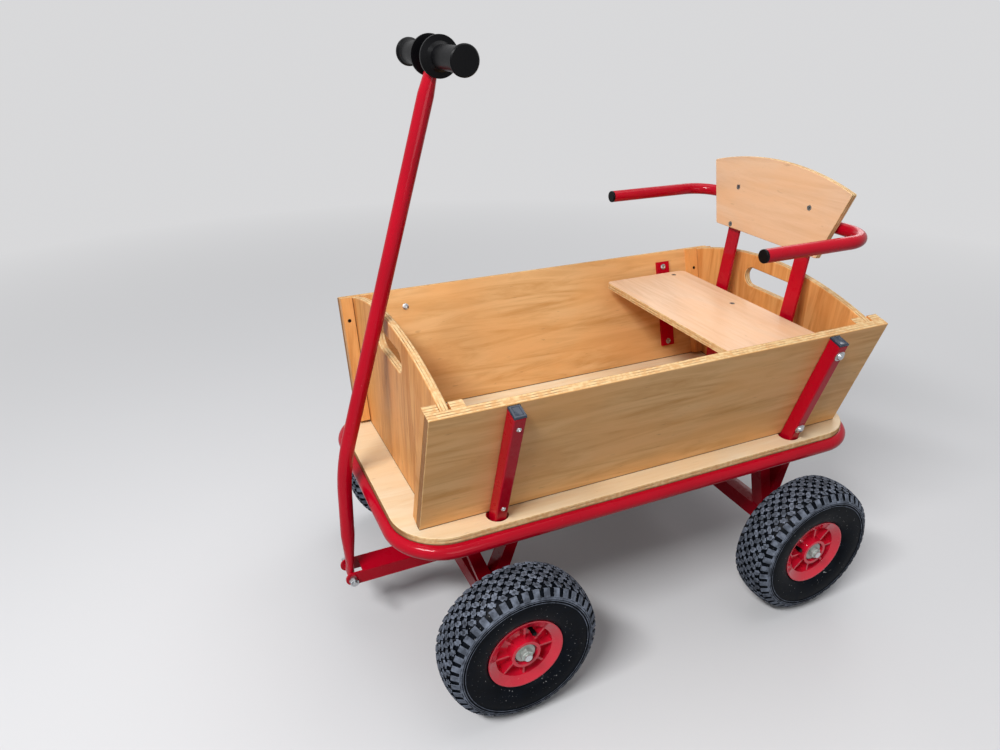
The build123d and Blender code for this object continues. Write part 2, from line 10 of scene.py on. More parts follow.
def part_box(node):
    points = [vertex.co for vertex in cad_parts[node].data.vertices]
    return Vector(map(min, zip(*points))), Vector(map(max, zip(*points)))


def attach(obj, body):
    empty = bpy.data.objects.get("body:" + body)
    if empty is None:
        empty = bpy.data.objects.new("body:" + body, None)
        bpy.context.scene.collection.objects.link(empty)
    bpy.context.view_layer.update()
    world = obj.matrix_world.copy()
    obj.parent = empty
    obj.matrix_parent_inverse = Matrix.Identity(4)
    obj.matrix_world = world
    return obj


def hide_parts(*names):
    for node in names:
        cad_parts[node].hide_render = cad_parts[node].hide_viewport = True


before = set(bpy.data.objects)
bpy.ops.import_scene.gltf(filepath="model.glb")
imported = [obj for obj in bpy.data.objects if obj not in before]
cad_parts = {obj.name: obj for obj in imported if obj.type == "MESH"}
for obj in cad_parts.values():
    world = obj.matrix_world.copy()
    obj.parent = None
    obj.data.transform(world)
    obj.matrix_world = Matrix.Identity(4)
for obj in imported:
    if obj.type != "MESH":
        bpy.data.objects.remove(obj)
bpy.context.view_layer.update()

bl_info = {
    "name": "Pull wagon finish",
    "version": (1, 0, 0),
    "blender": (4, 5, 0),
    "location": "3D View > Sidebar > Wagon",
    "description": "Tyres, fittings, paint and varnish for a wooden pull wagon",
    "category": "Object",
}

MM = 0.001

# The box, its stakes and its seat, in metres from the middle of the deck
MID_X = -21.25 * MM          # middle of the deck, from the middle of the whole length
DECK_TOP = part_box("deck_board")[1].z
SIDE_FOOT_Y = 187.0 * MM     # outer face of a side board at the top of the deck
SIDE_THICK = 15.0 * MM
LEAN = atan2(65.0, 221.0)    # of the side boards, from their run and rise
PLIES = 3                    # layers in the thickness of a side board
STAKE_X = 292.5 * MM
STAKE_WIDE = 20.0 * MM
STAKE_DEEP = 25.0 * MM
STAKE_TOP = 224.0 * MM       # up the slope
STRIP_THICK = 5.0 * MM
BATTEN_FACE = 30.0 * MM      # inner face of a batten, from the side board's outer face
BATTEN_X = (404.5 * MM, 366.5 * MM)
SEAT_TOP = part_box("seat_board")[1].z
SEAT_SCREW_X = -296.0 * MM
SEAT_SCREW_Y = (-188.0 * MM, 0.0, 188.0 * MM)
BAR_Y = 92.0 * MM
BAR_FACE_X = -344.0 * MM
BAR_BEND_Z = 500.0 * MM
BACK_LEAN = 0.1              # run of the upper bars over their rise
BACKREST_THICK = 12.0 * MM
BACK_SCREW_Z = (634.0 * MM, 706.0 * MM)

# Heights up the slope of the box's bolts and screws
STAKE_BOLTS = (34.0 * MM, 205.0 * MM)
FRONT_NUTS = (34.0 * MM, 196.0 * MM)
STRIP_BOLTS = (34.0 * MM, 198.0 * MM)
BATTEN_SCREWS = (30.0 * MM, 187.0 * MM)

# Wheels
CORNERS = ("front_left", "front_right", "rear_left", "rear_right")
PIN_BODY = {"front": "steering", "rear": "chassis"}
WHEEL_CENTRE = {c: (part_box("tyre_" + c)[0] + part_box("tyre_" + c)[1]) / 2 for c in CORNERS}
TYRE_R = 130.0 * MM
HUB_FACE = 28.0 * MM         # outer face of the hub, from the wheel's middle
PIN_FOOT_Y = 233.5 * MM      # past this the front and rear axles are bare pins
PALE_RIDGE_RINGS = (              # (inner, outer) radius of the pale ridges on the side wall
    (103.5 * MM, 104.4 * MM),
    (107.5 * MM, 108.4 * MM),
    (110.8 * MM, 112.4 * MM),
)

# Tread: crossed blocks on the crown, each of two bars, and lugs on the shoulders
CROWN_DROP = 5.2 * MM        # fall of the tread's outer face at CROWN_HALF from the middle
CROWN_HALF = 30.0 * MM
CROWN_GAP = 0.1 * MM         # from the tyre's full radius down to the middle blocks
ROW_SPACING = 8.6 * MM
BAR_TURN = radians(38)       # the first bar from the way of rolling, to either hand by turns
ARM_TURN = radians(78)       # the second bar from the first
BAR_LONG = 1.75              # these three are in block sides
ARM_LONG = 1.25
BAR_WIDE = 0.72
ARM_DROP = 0.15 * MM         # how much shallower the second bar is
LUG_ACROSS = 36.6 * MM       # middle of a lug's outer face
LUG_R = 118.1 * MM
LUG_TILT = radians(50.6)
LUG_LONG = 15.0 * MM
BLOCK_BEVEL = 0.45 * MM

# Valves
VALVE_TURN = {               # about the axle from the top, between two ribs
    "front_left": -pi / 8,
    "front_right": 5 * pi / 8,
    "rear_left": 3 * pi / 8,
    "rear_right": -7 * pi / 8,
}
VALVE_R = 37.0 * MM          # from the wheel's middle to the valve
VALVE_FOOT = 13.0 * MM       # from the wheel's middle out to the valve's foot

# Turned fittings, as (along, radius) in millimetres. The thin black ring of painted gap shade, the wheel
# nut and the pin's tip start from the hub's face, the valve from its foot, and the bolt's from the bolt's
# end.
# A black ring 0.15 mm thin behind the washer: painted shade of the gap between washer and rim boss
GAP_SHADE_RING = [(0.0, 8.0), (0.0, 18.13), (0.15, 18.13), (0.15, 8.0)]
WHEEL_NUT = [(2.2, 0.0), (2.2, 10.4), (9.8, 10.4), (10.8, 9.0), (10.8, 0.0)]
PIN_TIP = [(10.6, 0.0), (10.6, 6.1), (13.6, 6.1), (14.2, 5.2), (14.5, 3.2), (14.6, 0.0)]
VALVE = [(0, 0), (0, 5.2), (3, 4.4), (7, 3.3), (12, 3.1), (12, 3.9), (19, 3.7), (20, 2.6), (20, 0)]
BOLT_HEX = [(0.0, 0.0), (0.0, 8.4), (5.2, 8.4), (6.0, 7.4), (6.0, 0.0)]
BOLT_TIP = [(5.8, 0.0), (5.8, 4.9), (8.4, 4.9), (9.0, 4.2), (9.0, 0.0)]
BATTEN_HOLE_R = 3.3 * MM
SEAT_SCREW_R = 4.6 * MM
SCREW_DRIVE_R = 1.7 * MM
NUT_SHARE = 0.92             # radius of a nut in the box over that of a bolt's head

# Flats round a turned fitting
HEXAGON = 6
SMALL_ROUND = 20
TIP_ROUND = 24
BOLT_ROUND = 28
WASHER_ROUND = 40

# Tyre section, right half, as (across, radius) in millimetres from the bead to the crown
CARCASS = [
    (24.6, 50.8),
    (31.0, 63.6),
    (33.2, 65.2),
    (36.2, 68.0),
    (38.6, 73.0),
    (40.4, 80.0),
    (41.4, 87.0),
    (41.7, 93.0),
    (41.5, 99.0),
    (41.1, 102.6),
    (42.2, 103.5),
    (42.2, 104.5),
    (41.0, 105.2),
    (40.9, 106.6),
    (42.2, 107.4),
    (42.0, 108.6),
    (41.9, 109.8),
    (39.9, 113.6),
    (36.5, 115.6),
    (34.0, 118.0),
    (29.5, 121.0),
    (20.0, 124.0),
    (10.0, 125.6),
    (0.0, 126.0),
]

# Camera, solved from the photograph
CAMERA_PLACE = Vector((0.65593, 1.05207, 1.02108))
CAMERA_AIM = Vector((0.09916, -0.17193, 0.35638))
CAMERA_ROLL = 0.0044
CAMERA_FOCUS = 745.49        # in pixels of a picture PICTURE_WIDE across
PICTURE_WIDE = 1000
SENSOR_WIDE = 36             # millimetres

# Stage
FLOOR_SIZE = 40
FLOOR_CUTS = 8
FLOOR_BOUNCE = (0.16, 0.16, 0.17)      # what the floor throws back on the wagon
PALE = (0.69, 0.69, 0.70)    # background far from the wagon
PALE_FROM = 0.8              # distance from the wagon at which the floor starts to turn to it
PALE_BY = 3.2                # and at which it has turned
SKY = (0.86, 0.88, 0.92)
SKY_STRENGTH = 0.34
LAMPS = (                    # name, place, aim, size across and up, power
    ("lamp_key", (2.0, 1.2, 2.7), (0, 0, 0.4), (1.5, 0.35), 100),
    ("lamp_over", (-0.4, -0.3, 3.0), (0, 0, 0.3), (2.4, 2.4), 32),
    ("lamp_side", (0.2, 3.0, 1.0), (0, 0, 0.3), (1.6, 1.0), 12),
    ("lamp_back", (-2.6, -1.8, 1.8), (0, 0, 0.4), (1.4, 1.4), 16),
)

# Small touches of colour
SCUFFED_RED = (0.72, 0.30, 0.30)
BARE_ZINC = (0.60, 0.62, 0.64)
DUST = (0.36, 0.36, 0.36)
DRY_FIBRE = (0.56, 0.30, 0.12)
DECK_EDGE_SHADE = (0.05, 0.02, 0.015)       # painted shade: dark line of contact shadow under the deck's edge, where it sits on the chassis
BOX_FOOT_SHADE = (0.06, 0.025, 0.012)       # painted shade: dark line of contact shadow in the narrow gap where the box stands on the deck
# Black plastic of the stake plugs, tinted blue as a painted reflection of the sky
PLUG_PAINTED_SKY_BLUE = (0.012, 0.022, 0.042)

# What the finishes go on
RED_NODES = (
    "frame_side_rails", "frame_front_bow", "frame_rear_bow", "cross_tubes", "stake_sockets", "stakes",
    "side_strips", "seat_tube", "back_bars", "arm_tube", "rear_brackets", "turntable_plate",
    "front_brackets", "steering_beams", "drawbar", "handle_tube",
)
BOARDS = (                   # material, layout of the grain, colour, strength of the figure, nodes
    ("honey_side_ply", "side", "honey", 1.0, ("side_board_left", "side_board_right")),
    ("honey_end_ply", "end", "orange", 1.3, ("end_board_front", "end_board_rear")),
    ("honey_batten", "batten", "orange", 1.0, ("corner_battens",)),
    ("birch_deck_ply", "deck", "birch", 0.7, ("deck_board",)),
    ("seat_ply", "seat", "seat", 0.8, ("seat_board",)),
    ("backrest_ply", "backrest", "seat", 0.8, ("backrest",)),
)


def number(name, description, default, least):
    return IntProperty(name=name, description=description, default=default, min=least)


def length(name, description, default):
    return FloatProperty(
        name=name, description=description, default=default, subtype="DISTANCE", unit="LENGTH")


def colour(name, description, default):
    return FloatVectorProperty(
        name=name, description=description, default=default, size=3, min=0, max=1, subtype="COLOR")


class WagonSizes(PropertyGroup):
    """Sizes of the small pieces."""

    carcass_steps: number("Tyre steps", "Flats round a tyre", 84, 24)
    tread_groups: number("Tread groups", "Repeats of the tread round a tyre", 21, 8)
    tread_rows: number("Tread rows", "Rows of small blocks across the crown", 7, 3)
    tread_block: length("Block", "Side of a small block", 7.6 * MM)
    tread_deep: length("Tread depth", "Height of the blocks", 4.6 * MM)
    lug_wide: length("Lug", "Width of a shoulder lug", 10.6 * MM)
    washer_radius: length("Wheel washer", "Radius of a wheel washer", 16.8 * MM)
    bolt_radius: length("Bolt head", "Radius of a domed bolt head", 6.8 * MM)
    screw_radius: length("Screw head", "Radius of a pan head", 4.0 * MM)


class WagonColours(PropertyGroup):
    """Colours of the finishes."""

    red: colour("Red", "Powder coat of the metalwork", (0.45, 0.0003, 0.013))
    # Lighter and pinker than the metal's red: partly the moulded plastic's own red, partly a painted broad
    # sheen
    rim: colour("Rim", "Moulded rims", (0.70, 0.010, 0.036))
    honey: colour("Honey", "Varnished side boards", (0.73, 0.44, 0.20))
    honey_dark: colour("Honey, dark figure", "Darker figure of the side boards", (0.55, 0.28, 0.09))
    orange: colour("Orange", "End boards and battens", (0.72, 0.36, 0.125))
    orange_dark: colour("Orange, dark figure", "Darker figure of the end boards", (0.46, 0.17, 0.04))
    birch: colour("Birch", "Pale deck", (0.77, 0.64, 0.45))
    birch_dark: colour("Birch, dark figure", "Darker figure of the deck", (0.70, 0.48, 0.25))
    seat: colour("Seat", "Seat and backrest", (0.74, 0.50, 0.33))
    seat_dark: colour("Seat, dark figure", "Darker figure of the seat", (0.60, 0.36, 0.21))
    ply_pale: colour("Pale ply", "Pale layers on a sawn edge", (0.70, 0.50, 0.26))
    ply_end: colour("End grain", "Stained end of a board", (0.27, 0.12, 0.047))
    ply_dark: colour("Dark ply", "Glue lines on a sawn edge", (0.22, 0.09, 0.035))
    rubber: colour("Rubber", "Side walls of the tyres", (0.0026, 0.0038, 0.0062))
    tread: colour("Tread", "Dusty tread of the tyres", (0.105, 0.120, 0.152))
    plastic: colour("Plastic", "Grips, caps and valves", (0.0018, 0.0018, 0.0024))
    zinc: colour("Zinc", "Bolts, washers and pins", (0.60, 0.62, 0.64))
    dull: colour("Dull zinc", "Wheel nuts and washers", (0.46, 0.50, 0.47))
    screw: colour("Dark screws", "Screws of the seat and the backrest", (0.25, 0.25, 0.24))
    floor: colour("Floor", "Floor round the wagon", (0.62, 0.62, 0.63))


# Helpers for shapes

def deselect():
    bpy.ops.object.select_all(action="DESELECT")


def choose(*pieces):
    """Selects pieces, the first one active."""
    deselect()
    for piece in pieces:
        piece.select_set(True)
    bpy.context.view_layer.objects.active = pieces[0]


def place_applied(piece):
    choose(piece)
    bpy.ops.object.transform_apply(location=True, rotation=True, scale=True)


def smooth(piece, angle=35):
    choose(piece)
    bpy.ops.object.shade_smooth_by_angle(angle=radians(angle))


def named(piece, name):
    piece.name = name
    piece.data.name = name
    return piece


def joined(pieces, name):
    choose(*pieces)
    if len(pieces) > 1:
        bpy.ops.object.join()
    piece = bpy.context.active_object
    place_applied(piece)
    return named(piece, name)


def dressed(piece, material, body, slot, *nodes):
    """Gives a finished piece its material, its body and the nodes it stands for. The slot is not used."""
    if material is not None:
        piece.data.materials.clear()
        piece.data.materials.append(material)
    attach(piece, body)
    if nodes:
        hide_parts(*nodes)
    return piece


def pick_faces(test):
    """Selects the faces whose middle and normal pass a test, in edit mode."""
    bpy.ops.mesh.select_mode(type="FACE")
    bpy.ops.mesh.select_all(action="DESELECT")
    mesh = bmesh.from_edit_mesh(bpy.context.edit_object.data)
    for face in mesh.faces:
        if test(face.calc_center_median(), face.normal):
            face.select_set(True)
    mesh.select_flush(True)
    bmesh.update_edit_mesh(bpy.context.edit_object.data)


def in_metres(outline, start=0.0):
    """An outline of (along, radius) in millimetres as metres, moved along its axis by a start in metres."""
    return [(start + along * MM, radius * MM) for along, radius in outline]


def turned(name, outline, centre, axis, steps, closed=False):
    """Spins an outline of (along, radius) points round an axis through a centre."""
    axis = Vector(axis).normalized()
    across = Vector((0, 0, 1)) if abs(axis.z) < 0.5 else Vector((1, 0, 0))
    across = (across - axis * across.dot(axis)).normalized()
    points = [Vector(centre) + axis * along + across * radius for along, radius in outline]
    deselect()
    bpy.ops.mesh.primitive_plane_add(size=MM, location=points[0])
    piece = bpy.context.active_object
    place_applied(piece)
    bpy.ops.object.mode_set(mode="EDIT")
    bpy.ops.mesh.select_mode(type="VERT")
    bpy.ops.mesh.select_all(action="SELECT")
    bpy.ops.mesh.merge(type="CENTER")
    ends = points[1:] + points[:1] if closed else points[1:]
    for start, end in zip(points, ends):
        bpy.ops.mesh.extrude_vertices_move(TRANSFORM_OT_translate={"value": end - start})
    bpy.ops.mesh.select_all(action="SELECT")
    bpy.ops.mesh.spin(steps=steps, angle=tau, center=centre, axis=axis)
    bpy.ops.mesh.select_all(action="SELECT")
    bpy.ops.mesh.remove_doubles(threshold=0.01 * MM)
    bpy.ops.mesh.normals_make_consistent(inside=False)
    bpy.ops.object.mode_set(mode="OBJECT")
    smooth(piece)
    return named(piece, name)


def copied_to(pattern, places, name):
    """Copies a pattern to each place, a matrix, joins the copies and deletes the pattern."""
    copies = []
    for place in places:
        choose(pattern)
        bpy.ops.object.duplicate(linked=False)
        copy = bpy.context.active_object
        copy.matrix_world = place
        copies.append(copy)
    choose(pattern)
    bpy.ops.object.delete()
    return joined(copies, name)


def set_out(pattern, places, name):
    """Copies a fitting made along +Z to each (point, direction), and joins the copies."""
    matrices = []
    for point, direction in places:
        turn = Vector(direction).to_track_quat("Z", "Y").to_matrix().to_4x4()
        matrices.append(Matrix.Translation(point) @ turn)
    return copied_to(pattern, matrices, name)


def moved_copy(source, offset, name):
    """A copy of a finished piece with its own mesh, moved by an offset."""
    choose(source)
    bpy.ops.object.duplicate(linked=False)
    copy = bpy.context.active_object
    copy.parent = None
    copy.matrix_world = Matrix.Translation(offset)
    place_applied(copy)
    return named(copy, name)


# Places on the leaning box

def slope_normal(side):
    return Vector((0, side * cos(LEAN), -sin(LEAN)))


def slope_up(side):
    return Vector((0, side * sin(LEAN), cos(LEAN)))


def on_board(side, x, up, out):
    """A point on a side board: along the wagon, up the slope and out from its outer face."""
    foot = Vector((MID_X + x, side * SIDE_FOOT_Y, DECK_TOP))
    return foot + slope_up(side) * up + slope_normal(side) * out


# Helpers for materials

def toned(base, share):
    return tuple(share * c for c in base)


class Finish:
    """A material in the making: its tree, its shader and its object coordinates."""

    def __init__(self, name, base, roughness, metallic=0.0):
        self.material = bpy.data.materials.new(name)
        self.material.use_nodes = True
        self.tree = self.material.node_tree
        self.shader = self.tree.nodes["Principled BSDF"]
        self.shader.inputs["Base Color"].default_value = (*base, 1)
        self.shader.inputs["Roughness"].default_value = roughness
        self.shader.inputs["Metallic"].default_value = metallic
        self.coords = self.node("ShaderNodeTexCoord")
        self.place = self.coords.outputs["Object"]

    def node(self, kind, inputs=(), **settings):
        """Adds a node, with its settings, and its inputs linked or set."""
        made = self.tree.nodes.new(kind)
        for key, value in settings.items():
            setattr(made, key, value)
        for key, value in dict(inputs).items():
            if isinstance(value, bpy.types.NodeSocket):
                self.tree.links.new(value, made.inputs[key])
            else:
                made.inputs[key].default_value = value
        return made

    def calc(self, operation, first, second=0.0, third=0.0):
        inputs = {0: first, 1: second, 2: third}
        return self.node("ShaderNodeMath", inputs, operation=operation).outputs[0]

    def split(self, vector):
        return self.node("ShaderNodeSeparateXYZ", {0: vector}).outputs

    def gather(self, x, y, z):
        return self.node("ShaderNodeCombineXYZ", {0: x, 1: y, 2: z}).outputs[0]

    def stretched(self, vector, scale):
        return self.node("ShaderNodeVectorMath", {0: vector, 1: scale}, operation="MULTIPLY").outputs[0]

    def noise(self, vector, scale, detail=3.0, roughness=0.5, distortion=0.0):
        inputs = {"Vector": vector, "Scale": scale, "Detail": detail, "Roughness": roughness,
                  "Distortion": distortion}
        return self.node("ShaderNodeTexNoise", inputs).outputs[0]

    def range(self, value, low, high, new_low=0.0, new_high=1.0):
        inputs = {0: value, 1: low, 2: high, 3: new_low, 4: new_high}
        return self.node("ShaderNodeMapRange", inputs, clamp=True).outputs[0]

    def mix(self, share, first, second):
        made = self.node("ShaderNodeMix", data_type="RGBA")
        for socket, value in ((0, share), (6, first), (7, second)):
            if isinstance(value, bpy.types.NodeSocket):
                self.tree.links.new(value, made.inputs[socket])
            elif socket == 0:
                made.inputs[0].default_value = value
            else:
                made.inputs[socket].default_value = (*value, 1)
        return made.outputs[2]

    def vary_roughness(self, noise, low, high):
        """Lets the roughness run from low to high with a noise."""
        self.set("Roughness", self.range(noise, 0.3, 0.7, low, high))

    def bump(self, height, strength, distance):
        inputs = {"Strength": strength, "Distance": distance, "Height": height}
        made = self.node("ShaderNodeBump", inputs)
        self.tree.links.new(made.outputs[0], self.shader.inputs["Normal"])

    def set(self, socket, value):
        if isinstance(value, bpy.types.NodeSocket):
            self.tree.links.new(value, self.shader.inputs[socket])
        else:
            self.shader.inputs[socket].default_value = value


def gloss_paint(name, base, roughness=0.3, gloss=0.28, bare_from=None):
    """Glossy powder coat with a slight tone drift. Past bare_from across the wagon, metal is bare zinc."""
    f = Finish(name, base, roughness)
    f.set("Specular IOR Level", 0.05)
    f.set("Coat Weight", gloss)
    f.set("Coat Roughness", 0.07)
    drift = f.noise(f.place, scale=7.0, detail=2.0)
    tone = f.mix(f.range(drift, 0.35, 0.65), toned(base, 0.82), base)
    scuff = f.noise(f.place, scale=160.0, detail=3.0, roughness=0.6)
    tone = f.mix(f.range(scuff, 0.72, 0.78, 0.0, 0.25), tone, SCUFFED_RED)
    f.vary_roughness(f.noise(f.place, scale=60.0, detail=3.0), roughness - 0.05, roughness + 0.08)
    if bare_from is not None:
        bare = f.calc("GREATER_THAN", f.calc("ABSOLUTE", f.split(f.place)[1]), bare_from)
        f.set("Metallic", bare)
        tone = f.mix(bare, tone, BARE_ZINC)
    f.set("Base Color", tone)
    return f.material


def moulded(name, base, roughness, specular=0.10):
    """Moulded plastic with a fine grain."""
    f = Finish(name, base, roughness)
    f.set("Specular IOR Level", specular)
    grain = f.noise(f.place, scale=900.0, detail=3.0)
    f.vary_roughness(grain, roughness - 0.05, roughness + 0.08)
    drift = f.noise(f.place, scale=14.0, detail=2.0)
    pale = tuple(1.25 * c + 0.0008 for c in base)
    f.set("Base Color", f.mix(f.range(drift, 0.4, 0.7), base, pale))
    f.bump(grain, strength=0.05, distance=0.2 * MM)
    return f.material


def bright_zinc(name, base, roughness=0.28, metallic=1.0):
    """Zinc plate, clouded by handling."""
    f = Finish(name, base, roughness, metallic)
    cloud = f.noise(f.place, scale=130.0, detail=4.0, roughness=0.6)
    f.set("Base Color", f.mix(f.range(cloud, 0.35, 0.7), toned(base, 0.72), base))
    f.vary_roughness(cloud, roughness - 0.08, roughness + 0.14)
    f.bump(f.noise(f.place, scale=700.0, detail=2.0), strength=0.05, distance=0.2 * MM)
    return f.material


def rubber(name, base, roughness, dust, worn):
    """Rubber with patches worn paler and fine specks of dust."""
    f = Finish(name, base, roughness)
    f.set("Specular IOR Level", 0.05)
    cloud = f.noise(f.place, scale=75.0, detail=3.0, roughness=0.6)
    tone = f.mix(f.range(cloud, 0.38, 0.66), toned(base, 1 / worn), toned(base, worn))
    speck = f.range(f.noise(f.place, scale=300.0, detail=2.0, roughness=0.4), 0.705, 0.75)
    f.set("Base Color", f.mix(f.calc("MULTIPLY", speck, dust), tone, DUST))
    f.vary_roughness(cloud, roughness - 0.07, roughness + 0.10)
    f.bump(f.noise(f.place, scale=1100.0, detail=2.0), strength=0.10, distance=0.25 * MM)
    return f.material


def board_axes(f, layout):
    """Coordinates (along the grain, across it, through the board) and how much a face is a sawn edge."""
    x, y, z = f.split(f.place)
    nx, ny, nz = f.split(f.coords.outputs["Normal"])
    if layout in ("side", "batten"):
        y = f.calc("ABSOLUTE", y)
        across = f.calc("MULTIPLY_ADD", y, sin(LEAN), f.calc("MULTIPLY", z, cos(LEAN)))
        through = f.calc("MULTIPLY_ADD", y, cos(LEAN), f.calc("MULTIPLY", z, -sin(LEAN)))
        up = f.calc("ABSOLUTE", ny)
        down = f.calc("ABSOLUTE", nz)
        flat = f.calc("MULTIPLY_ADD", up, cos(LEAN), f.calc("MULTIPLY", down, sin(LEAN)))
        face_through = SIDE_FOOT_Y * cos(LEAN) - DECK_TOP * sin(LEAN)
        through = f.calc("SUBTRACT", face_through, through)
        if layout == "side":
            vector = f.gather(x, across, through)
        else:
            vector = f.gather(across, x, through)
            flat = f.calc("MAXIMUM", flat, f.calc("ABSOLUTE", nx))
    elif layout == "end":
        vector = f.gather(z, y, f.calc("SUBTRACT", x, MID_X))
        flat = f.calc("ABSOLUTE", nx)
    elif layout == "deck":
        vector = f.gather(x, y, f.calc("SUBTRACT", DECK_TOP, z))
        flat = f.calc("ABSOLUTE", nz)
    elif layout == "seat":
        vector = f.gather(y, x, f.calc("SUBTRACT", SEAT_TOP, z))
        flat = f.calc("ABSOLUTE", nz)
    else:
        through = f.calc("MULTIPLY_ADD", z, BACK_LEAN, x)
        vector = f.gather(y, z, through)
        flat = f.calc("ABSOLUTE", nx)
    return vector, f.range(flat, 0.72, 0.86, 1.0, 0.0)


def varnished_face(f, vector, pale, dark, figure):
    """Colour of a board's face, with a slow drift, a flame figure and dark flecks, and its pore pattern."""
    long = f.stretched(vector, (1.5, 15.0, 0.0))
    flame = f.noise(long, scale=2.2, detail=5.0, roughness=0.60, distortion=1.8)
    tone = f.mix(f.range(flame, 0.40, 0.70, 0.0, figure), pale, dark)
    wide = f.stretched(vector, (2.0, 5.0, 0.0))
    drift = f.noise(wide, scale=2.0, detail=3.0, roughness=0.55, distortion=0.8)
    rich = (1.04 * pale[0], 0.90 * pale[1], 0.74 * pale[2])
    tone = f.mix(f.range(drift, 0.38, 0.66, 0.0, 0.7), tone, rich)
    pore = f.noise(f.stretched(vector, (16.0, 520.0, 0.0)), scale=2.0, detail=3.0, roughness=0.6)
    tone = f.mix(f.range(pore, 0.56, 0.74, 0.0, 0.20), tone, toned(dark, 0.62))
    fleck = f.noise(f.stretched(vector, (34.0, 170.0, 0.0)), scale=1.0, detail=2.0)
    tone = f.mix(f.range(fleck, 0.69, 0.76, 0.0, 0.30), tone, toned(dark, 0.45))
    return tone, pore


def sawn_edge(f, vector, layout, colours):
    """Colour of a sawn edge: plies with broken glue lines and dry fibres, stained on a board's ends."""
    waver = f.noise(f.place, scale=8.0, detail=2.0)
    through = f.split(vector)[2]
    layer = f.calc("MULTIPLY_ADD", through, PLIES / SIDE_THICK, f.calc("MULTIPLY", waver, 0.3))
    stripe = f.range(f.calc("PINGPONG", layer, 0.5), 0.07, 0.20, 1.0, 0.0)
    breaks = f.noise(f.place, scale=22.0, detail=3.0, roughness=0.7)
    line = f.calc("MULTIPLY", stripe, f.range(breaks, 0.40, 0.60, 0.15, 1.0))
    fibre = f.noise(f.place, scale=120.0, detail=3.0, roughness=0.6)
    cut = f.mix(line, colours.ply_pale, colours.ply_dark)
    cut = f.mix(f.range(fibre, 0.42, 0.62, 0.0, 0.8), cut, DRY_FIBRE)
    if layout in ("side", "deck"):
        ahead = f.calc("ABSOLUTE", f.split(f.coords.outputs["Normal"])[0])
        stained = f.mix(line, colours.ply_end, colours.ply_dark)
        cut = f.mix(f.range(ahead, 0.75, 0.9, 0.0, 0.85), cut, stained)
    return cut


def with_contact_shade(f, layout, tone, edge):
    """Paints shade: a dark line of contact shadow where the deck's edge meets the chassis, or where the box
    meets the deck.
    """
    height = f.split(f.place)[2]
    if layout == "deck":
        shade_line = f.range(height, DECK_TOP - 10.8 * MM, DECK_TOP - 9.6 * MM, 0.85, 0.0)
        return f.mix(f.calc("MULTIPLY", shade_line, edge), tone, DECK_EDGE_SHADE)
    if layout in ("seat", "backrest"):
        return tone
    shade_line = f.range(height, DECK_TOP + 1.2 * MM, DECK_TOP + 2.4 * MM, 0.9, 0.0)
    return f.mix(shade_line, tone, BOX_FOOT_SHADE)


def plywood(name, layout, pale, dark, figure, colours, gloss=0.42):
    """Varnished plywood, with its layers on the sawn edges."""
    f = Finish(name, pale, gloss)
    vector, edge = board_axes(f, layout)
    face, pore = varnished_face(f, vector, pale, dark, figure)
    tone = f.mix(edge, face, sawn_edge(f, vector, layout, colours))
    # Base colour, with a painted contact-shade line at the foot of the board
    f.set("Base Color", with_contact_shade(f, layout, tone, edge))
    sheen = f.range(pore, 0.3, 0.7, gloss - 0.08, gloss + 0.12)
    f.set("Roughness", f.calc("MAXIMUM", sheen, f.calc("MULTIPLY", edge, 0.9)))
    f.set("Specular IOR Level", 0.14)
    f.set("Coat Weight", 0.05)
    f.set("Coat Roughness", 0.18)
    f.bump(pore, strength=0.05, distance=0.3 * MM)
    return f.material


def floor_finish(colours):
    """Pale floor that keeps the shadow, and grows evenly pale far from the wagon."""
    f = Finish("floor_pale", colours.floor, 0.9)
    path = f.node("ShaderNodeLightPath").outputs
    mirrored = f.calc("MAXIMUM", path["Is Glossy Ray"], path["Is Transmission Ray"])
    shown = f.calc("MAXIMUM", path["Is Camera Ray"], mirrored)
    cloud = f.noise(f.place, scale=1.3, detail=3.0)
    f.set("Base Color", f.mix(shown, FLOOR_BOUNCE, f.mix(cloud, toned(colours.floor, 0.97), colours.floor)))
    f.set("Specular IOR Level", 0.1)
    x, y = f.split(f.place)[:2]
    squared = f.calc("MULTIPLY_ADD", x, x, f.calc("MULTIPLY", y, y))
    far = f.range(f.calc("SQRT", squared), PALE_FROM, PALE_BY)
    glow = f.node("ShaderNodeEmission", {"Color": (*PALE, 1), "Strength": 1.0}).outputs[0]
    share = f.calc("MULTIPLY", far, shown)
    both = f.node("ShaderNodeMixShader", {0: share, 1: f.shader.outputs[0], 2: glow})
    f.tree.links.new(both.outputs[0], f.tree.nodes["Material Output"].inputs["Surface"])
    return f.material


def paint_nodes(material, *nodes):
    """Puts one material on CAD nodes."""
    for name in nodes:
        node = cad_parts[name]
        for slot in node.material_slots:
            slot.material = material
        if not node.material_slots:
            node.data.materials.append(material)


MATERIALS = {}               # finishes of the pieces that are made here


